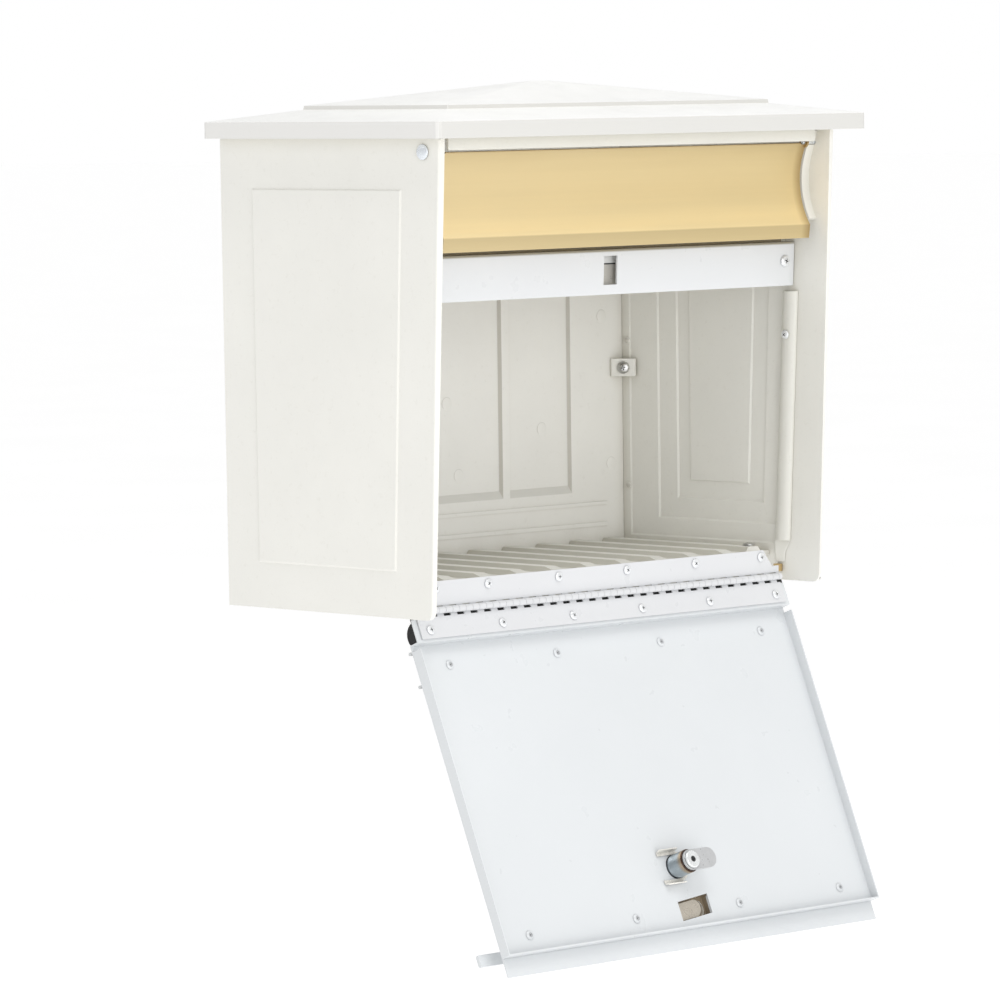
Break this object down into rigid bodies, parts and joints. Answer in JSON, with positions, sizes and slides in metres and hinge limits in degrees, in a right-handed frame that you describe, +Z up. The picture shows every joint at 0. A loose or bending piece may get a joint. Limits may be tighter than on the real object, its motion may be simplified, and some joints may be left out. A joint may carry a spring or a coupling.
{
  "type": "wall mailbox",
  "caption": "Wall-mounted mailbox with a hipped cap, a drop-down front door on a piano hinge, a hanging mail flap, a key cam lock and a spring catch.",
  "frame": {"origin": "middle of the flat back face that lies against the wall, half way up the side panels", "axes": "+X to the right seen from the front, +Y towards the wall, +Z up; the front faces -Y; rest pose is with the door hanging open"},
  "size_m": [0.4192, 0.262, 0.5929],
  "materials": {
    "body_plastic": "off-white moulded plastic, light satin",
    "roof_plastic": "white moulded plastic, satin",
    "door_steel": "cool white powder coat",
    "flap_brass": "pale gold, polished and lacquered",
    "nickel": "nickel plate",
    "zinc": "blue-grey zinc casting",
    "rubber": "black rubber",
    "latch_plastic": "dark moulded plastic"
  },
  "bodies": {
    "box": {"side_panel_left": "body_plastic", "side_panel_right": "body_plastic", "back_panel": "body_plastic", "floor_tray": "body_plastic", "roof_cap": "roof_plastic", "header_rail": "body_plastic", "crossbar": "door_steel", "strike_plate": "nickel", "crossbar_screw_left": "nickel", "crossbar_screw_right": "nickel", "flap_pin_left": "nickel", "flap_pin_right": "nickel", "jamb_rail_left": "body_plastic", "jamb_rail_right": "body_plastic", "jamb_screw_left": "nickel", "jamb_screw_right": "nickel", "corner_bracket_left": "body_plastic", "corner_bracket_right": "body_plastic", "corner_screw_left": "nickel", "corner_screw_right": "nickel", "floor_screw_left": "nickel", "floor_screw_right": "nickel", "hinge_upper_leaf": "door_steel", "hinge_pin": "nickel", "upper_leaf_screw_1": "nickel", "upper_leaf_screw_2": "nickel", "upper_leaf_screw_3": "nickel", "upper_leaf_screw_4": "nickel", "upper_leaf_screw_5": "nickel", "upper_leaf_screw_6": "nickel"},
    "door": {"hinge_lower_leaf": "door_steel", "door_pan": "door_steel", "door_rail_lower": "door_steel", "door_rail_upper": "door_steel", "pull_bar": "door_steel", "bumper_strip": "rubber", "lock_body": "zinc", "lock_clip": "nickel", "latch_housing": "latch_plastic", "latch_spring": "nickel", "lower_leaf_screw_1": "nickel", "lower_leaf_screw_2": "nickel", "lower_leaf_screw_3": "nickel", "lower_leaf_screw_4": "nickel", "lower_leaf_screw_5": "nickel", "lower_leaf_screw_6": "nickel", "door_rivet_1": "nickel", "door_rivet_2": "nickel", "door_rivet_3": "nickel", "door_rivet_4": "nickel", "door_rivet_5": "nickel", "door_rivet_6": "nickel", "door_rivet_7": "nickel", "door_rivet_8": "nickel"},
    "flap": {"mail_flap": "flap_brass"},
    "lock": {"lock_plug": "zinc", "lock_cam": "zinc", "cam_screw": "nickel"},
    "catch": {"latch_tongue": "nickel"}
  },
  "joints": [
    {"name": "door_hinge", "type": "hinge", "parent": "box", "child": "door", "pos_m": [0, -0.1734, -0.15705], "axis": [1, 0, 0], "range_deg": [-155, 0]},
    {"name": "flap_pivot", "type": "hinge", "parent": "box", "child": "flap", "pos_m": [0, -0.2006, 0.15145], "axis": [-1, 0, 0], "range_deg": [0, 70]},
    {"name": "lock_turn", "type": "hinge", "parent": "door", "child": "lock", "pos_m": [0, -0.24825, -0.33776], "axis": [0, 0.9239, -0.3827], "range_deg": [0, 90]},
    {"name": "catch_slide", "type": "slide", "parent": "door", "child": "catch", "axis": [1, 0, 0], "range_m": [0, 0.004], "stiffness_N_per_m": 150}
  ]
}
